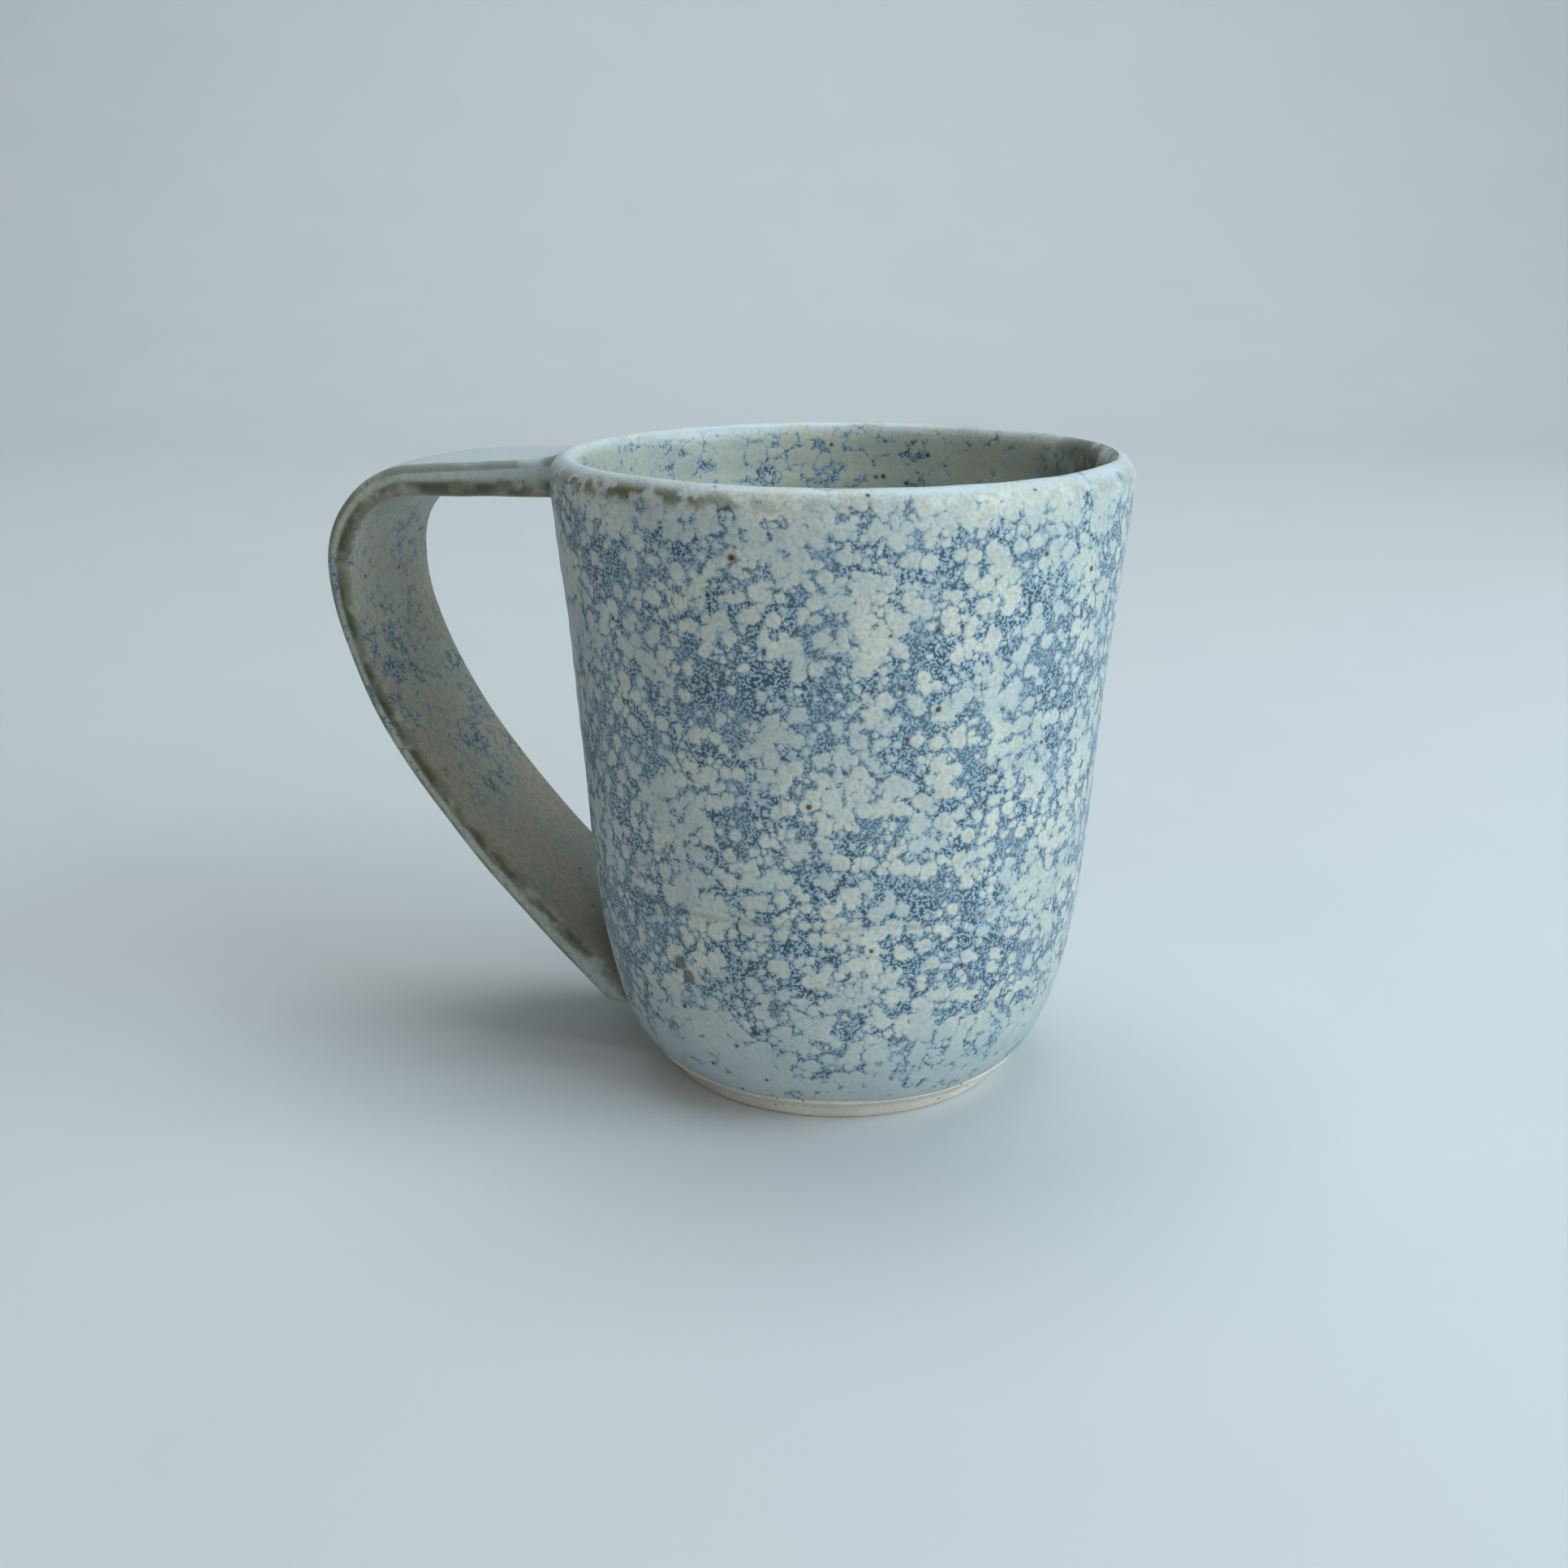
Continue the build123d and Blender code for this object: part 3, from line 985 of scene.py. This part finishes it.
table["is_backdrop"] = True

table_paint, place = new_finish("table_paint")
fired(
    place.cloud(60.0).tinted(TABLE_GREY, TABLE_PALE),
    0.9 - place.cloud(3.0) * 0.1,
    place.cloud(2.0),
    0.02,
    gloss=0.2,
)
table_mesh.materials.append(table_paint)


def soft_lamp(name, place, size, power, colour, target=MIDDLE_OF_MUG):
    """A square soft lamp that faces the mug, or another place."""
    light = bpy.data.lights.new(name, "AREA")
    light.size = size
    light.energy = power
    light.color = colour
    lamp = bpy.data.objects.new(name, light)
    lamp.location = place
    lamp.rotation_euler = (Vector(target) - Vector(place)).to_track_quat("-Z", "Y").to_euler()
    bpy.context.scene.collection.objects.link(lamp)


up = Vector((0, 0, 1))
soft_lamp(
    "window",
    right * 0.72 + up * 0.46 - ahead * 0.32,
    size=0.7,
    power=7.4,
    colour=(0.76, 0.91, 1.0),
)
soft_lamp(
    "bounce",
    right * 0.3 + up * 0.3 - ahead * 0.9,
    size=0.8,
    power=2.5,
    colour=(1.0, 0.94, 0.87),
)
soft_lamp(
    "backdrop",
    ahead * 0.5 + up * 1.6,
    size=1.2,
    power=16.0,
    colour=(0.94, 0.98, 1.0),
    target=ahead * 1.3 + up * 0.1,
)

world = bpy.data.worlds.new("room")
world.use_nodes = True
room = world.node_tree.nodes["Background"]
room.inputs["Color"].default_value = ROOM_GREY
room.inputs["Strength"].default_value = ROOM_STRENGTH
bpy.context.scene.world = world

camera = bpy.data.objects.new("camera", bpy.data.cameras.new("camera"))
camera.data.lens = CAMERA_LENS
camera.data.sensor_width = CAMERA_SENSOR
camera.location = CAMERA_PLACE
sight = ahead * math.cos(CAMERA_DIP) - up * math.sin(CAMERA_DIP)
camera.rotation_euler = sight.to_track_quat("-Z", "Y").to_euler()
bpy.context.scene.collection.objects.link(camera)
bpy.context.scene.camera = camera
bpy.context.scene.view_settings.view_transform = "Standard"

boxes = {"cad": cad_box, "visual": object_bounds()}
corners = {name: [list(map(float, corner)) for corner in box] for name, box in boxes.items()}
